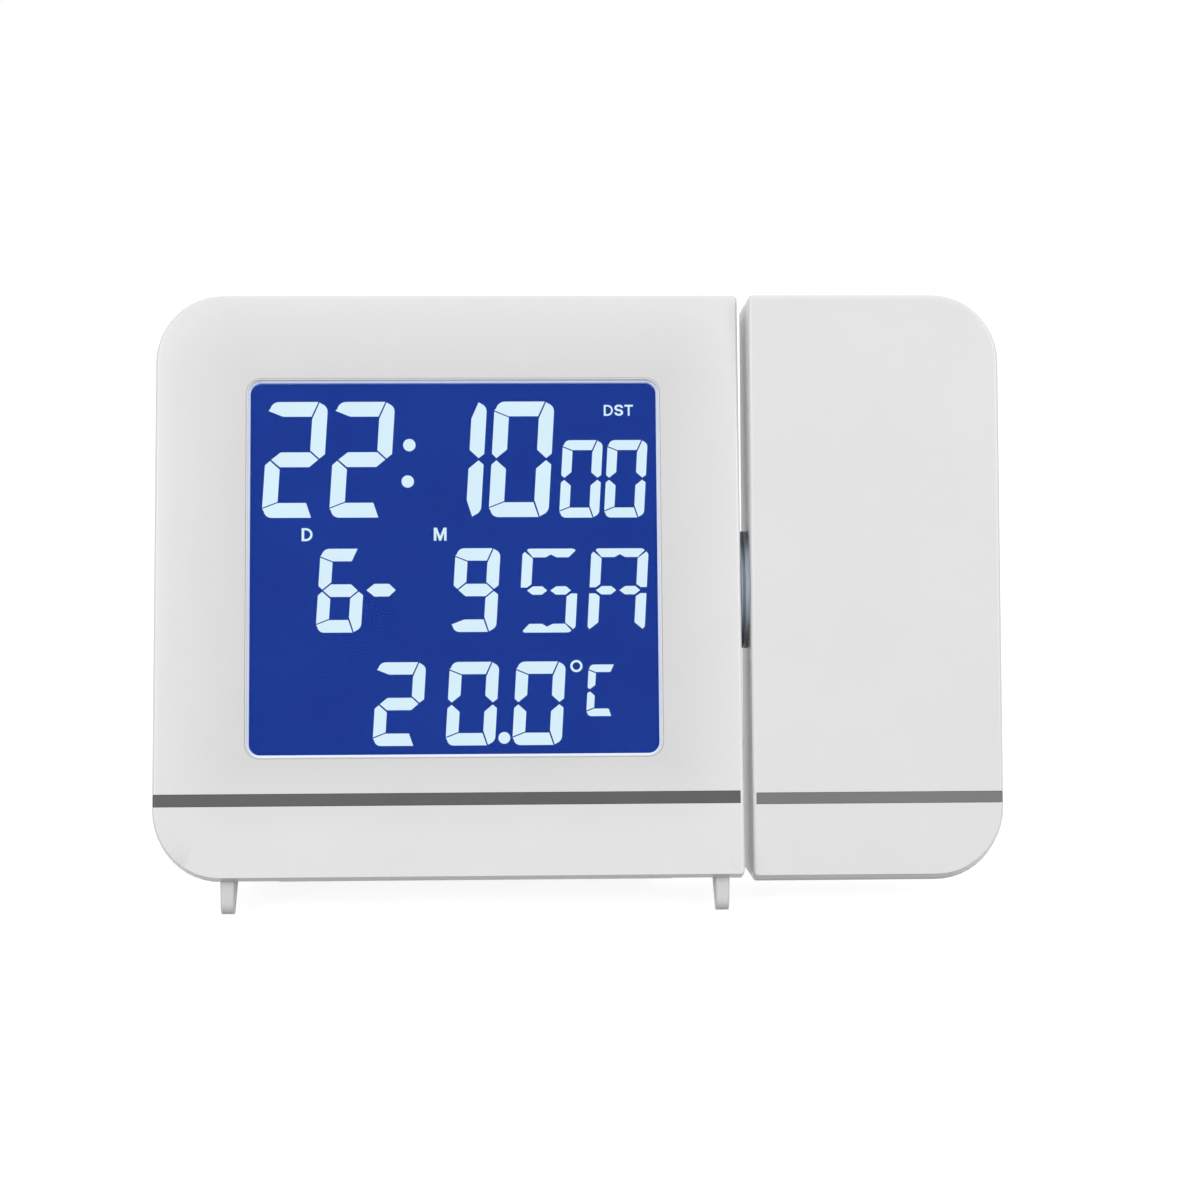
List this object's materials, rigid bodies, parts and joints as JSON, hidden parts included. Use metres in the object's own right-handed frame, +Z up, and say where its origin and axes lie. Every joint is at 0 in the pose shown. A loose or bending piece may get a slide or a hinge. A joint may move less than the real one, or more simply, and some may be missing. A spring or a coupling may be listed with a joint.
{
  "type": "projection alarm clock",
  "caption": "Leaning digital desk clock with a large blue display and a narrow projector that swivels on a hub at its right side, on fold-in feet.",
  "frame": {"origin": "centre of the heel pad's underside, on the table, at the middle of the body's width", "axes": "+X to the right seen from the front, +Y to the rear, +Z up; the body leans back 14 degrees"},
  "size_m": [0.1456, 0.0463, 0.1044],
  "materials": {
    "white_shell": "fine satin",
    "key_white": "satin",
    "trim_grey": "satin",
    "clear_window": "polished clear plastic",
    "lit_segments": "lit",
    "blue_display": "polished",
    "white_film": "matt",
    "clear_guide": "polished",
    "contact_rubber": "matt",
    "led_body": "lit",
    "board_green": "solder mask",
    "black_resin": "smooth",
    "bright_steel": "plated",
    "ferrite": "matt",
    "copper_wire": "enamelled",
    "black_plastic": "satin",
    "wire_red": "smooth",
    "plug_ivory": "satin",
    "cell_wrap": null,
    "dark_rubber": "matt",
    "hub_dark": "gloss",
    "ring_grey": "satin",
    "optical_glass": "polished"
  },
  "bodies": {
    "clock_body": {"front_housing": "white_shell", "body_trim_strip": "trim_grey", "display_window": "clear_window", "lcd_segments": "lit_segments", "lcd_front_glass": "blue_display", "lcd_rear_glass": "blue_display", "diffuser_film": "white_film", "light_guide": "clear_guide", "reflector_film": "white_film", "lcd_holder": "white_film", "contact_strips": "contact_rubber", "backlight_leds": "led_body", "main_board": "board_green", "chip_blob": "black_resin", "quartz_crystal": "bright_steel", "receiver_board": "board_green", "ferrite_rod": "ferrite", "antenna_coil": "copper_wire", "buzzer": "black_plastic", "temperature_sensor": "black_plastic", "dc_jack": "black_plastic", "dc_jack_pin": "bright_steel", "harness_plug": "plug_ivory", "projector_wires": "wire_red", "snooze_switch": "black_plastic", "key_board": "board_green", "key_domes": "bright_steel", "slide_switch": "bright_steel", "rear_cover": "white_shell", "battery_cells": "cell_wrap", "battery_springs": "bright_steel", "battery_plates": "bright_steel", "cover_screws": "bright_steel", "board_screws": "bright_steel", "heel_pad": "dark_rubber", "foot_pins": "bright_steel"},
    "projector": {"swivel_hub": "hub_dark", "hub_nut": "bright_steel", "wave_washer": "bright_steel", "hub_retainer": "bright_steel", "projector_housing": "white_shell", "projector_trim_strip": "trim_grey", "projector_cover": "white_shell", "projector_board": "board_green", "projector_led": "led_body", "optics_frame": "black_plastic", "projector_optics": "optical_glass", "projector_screws": "bright_steel"},
    "lens": {"lens_barrel": "black_plastic"},
    "focus": {"focus_ring": "ring_grey"},
    "snooze": {"snooze_bar": "white_shell"},
    "switch": {"switch_knob": "key_white"},
    "foot_l": {"left_foot": "white_shell"},
    "foot_r": {"right_foot": "white_shell"},
    "door": {"battery_door": "white_shell"},
    "mode": {"mode_key": "key_white"},
    "alarm": {"alarm_key": "key_white"},
    "up": {"up_key": "key_white"},
    "down": {"down_key": "key_white"},
    "wave": {"wave_key": "key_white"}
  },
  "joints": [
    {"name": "projector_swivel", "type": "hinge", "parent": "clock_body", "child": "projector", "pos_m": [0.052, -0.00822, 0.05287], "axis": [1, 0, 0], "range_deg": [-3.8, 176.2]},
    {"name": "focus_turn", "type": "hinge", "parent": "projector", "child": "focus", "pos_m": [0.07365, 0.00737, 0.07913], "axis": [0, 0.9842, -0.1771], "range_deg": [-90, 90]},
    {"name": "lens_focus", "type": "slide", "parent": "projector", "child": "lens", "axis": [0, 0.9842, -0.1771], "range_m": [-0.001, 0.001]},
    {"name": "snooze_press", "type": "slide", "parent": "clock_body", "child": "snooze", "axis": [0, -0.2419, -0.9703], "range_m": [0, 0.001], "stiffness_N_per_m": 600, "springref_m": -0.0006},
    {"name": "projection_switch", "type": "slide", "parent": "clock_body", "child": "switch", "axis": [1, 0, 0], "range_m": [0, 0.003]},
    {"name": "foot_left", "type": "hinge", "parent": "clock_body", "child": "foot_l", "pos_m": [-0.0377, -0.02253, 0.00707], "axis": [0, -0.9703, 0.2419], "range_deg": [0, 90]},
    {"name": "foot_right", "type": "hinge", "parent": "clock_body", "child": "foot_r", "pos_m": [0.0466, -0.02253, 0.00707], "axis": [0, 0.9703, -0.2419], "range_deg": [0, 90]},
    {"name": "door_lift_off", "type": "slide", "parent": "clock_body", "child": "door", "axis": [0, 0.9703, -0.2419], "range_m": [0, 0.03]},
    {"name": "mode_press", "type": "slide", "parent": "clock_body", "child": "mode", "axis": [0, -0.9703, 0.2419], "range_m": [0, 0.00045], "stiffness_N_per_m": 500, "springref_m": -0.0004},
    {"name": "alarm_press", "type": "slide", "parent": "clock_body", "child": "alarm", "axis": [0, -0.9703, 0.2419], "range_m": [0, 0.00045], "stiffness_N_per_m": 500, "springref_m": -0.0004},
    {"name": "up_press", "type": "slide", "parent": "clock_body", "child": "up", "axis": [0, -0.9703, 0.2419], "range_m": [0, 0.00045], "stiffness_N_per_m": 500, "springref_m": -0.0004},
    {"name": "down_press", "type": "slide", "parent": "clock_body", "child": "down", "axis": [0, -0.9703, 0.2419], "range_m": [0, 0.00045], "stiffness_N_per_m": 500, "springref_m": -0.0004},
    {"name": "wave_press", "type": "slide", "parent": "clock_body", "child": "wave", "axis": [0, -0.9703, 0.2419], "range_m": [0, 0.00045], "stiffness_N_per_m": 500, "springref_m": -0.0004}
  ],
  "couplings": [
    {"joint": "lens_focus", "follows": "focus_turn", "m_per_rad": 0.00063}
  ]
}
